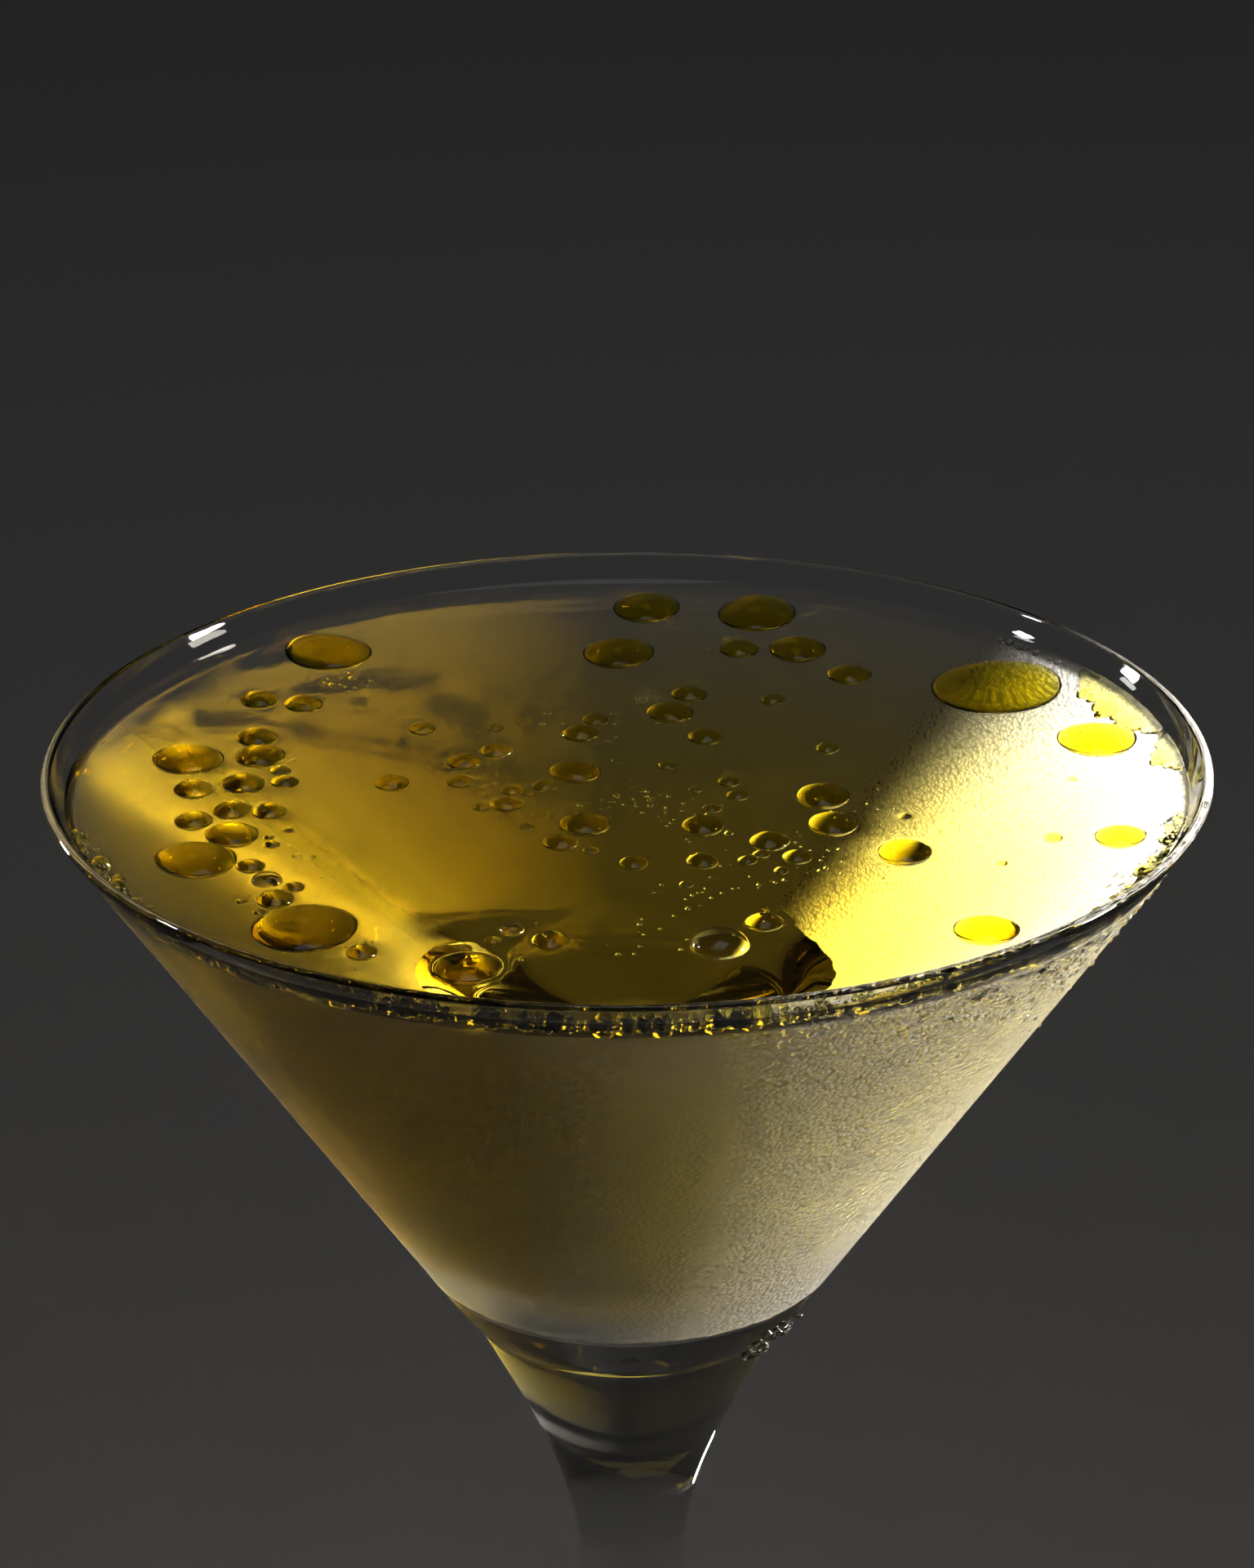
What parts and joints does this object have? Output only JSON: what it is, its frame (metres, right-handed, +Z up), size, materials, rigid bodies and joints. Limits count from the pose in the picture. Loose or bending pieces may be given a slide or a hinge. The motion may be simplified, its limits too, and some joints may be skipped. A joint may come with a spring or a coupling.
{
  "type": "martini cocktail",
  "caption": "Stemmed conical cocktail glass filled almost to the rim with a pale gold drink that carries floating drops of green-gold oil.",
  "frame": {"origin": "centre of the foot's underside, on the surface the glass stands on", "axes": "+Z up along the stem's axis, +X to the right as pictured, -Y towards the viewer"},
  "size_m": [0.114, 0.114, 0.178],
  "materials": {
    "clear_glass": "clear blown glass, fogged outside where the cold drink is behind it",
    "drink": "clear pale gold liquid",
    "oil": "clear green-gold oil, wet and smooth",
    "bubble_film": "thin clear film of the drink over air"
  },
  "bodies": {
    "root": {"glass": "clear_glass", "drink": "drink", "drop_far_left": "oil", "drop_left_high": "oil", "drop_left_inner": "oil", "drop_left_middle": "oil", "drop_left_low": "oil", "drop_left_near": "oil", "drop_far_middle": "oil", "drop_far_right": "oil", "drop_back_dark": "oil", "drop_back_right": "oil", "drop_centre_back": "oil", "drop_centre": "oil", "drop_centre_front": "oil", "drop_right_pair_back": "oil", "drop_right_pair_front": "oil", "drop_front": "oil", "drop_largest": "oil", "drop_right_wall": "oil", "drop_right_low": "oil", "drop_right_inner": "oil", "drop_right_near": "oil", "air_bubble": "bubble_film", "wall_slick_back": "oil", "wall_slick_front": "oil"}
  },
  "joints": []
}
